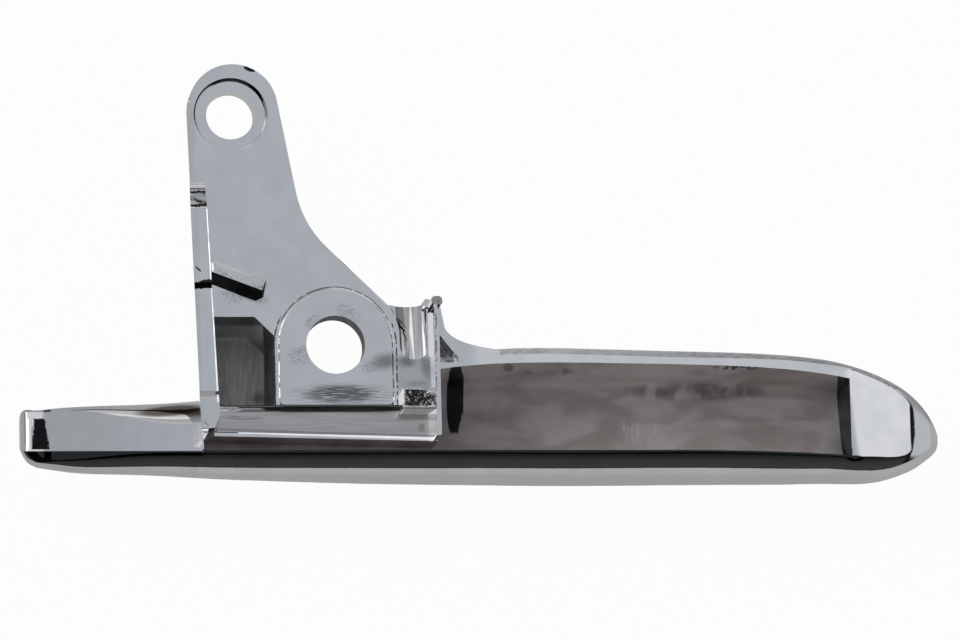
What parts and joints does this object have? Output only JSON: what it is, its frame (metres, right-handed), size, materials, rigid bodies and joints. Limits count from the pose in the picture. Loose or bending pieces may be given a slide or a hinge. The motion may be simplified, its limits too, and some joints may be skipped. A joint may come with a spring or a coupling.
{
  "type": "car interior door handle",
  "caption": "Chrome-plated interior door handle lever: hollow grip, wing and cranked arm with pivot and link bores, moulded in one piece.",
  "frame": {"origin": "pivot axis at the face of the pivot pad", "axes": "+X along the grip to its rounded end, +Y towards the arm's link hole, +Z along the pivot axis to the mounting side"},
  "size_m": [0.1414, 0.0634, 0.0224],
  "materials": {
    "chrome": "bright chrome plating on moulded plastic, a little worn"
  },
  "bodies": {
    "root": {"handle_lever": "chrome"}
  },
  "joints": []
}
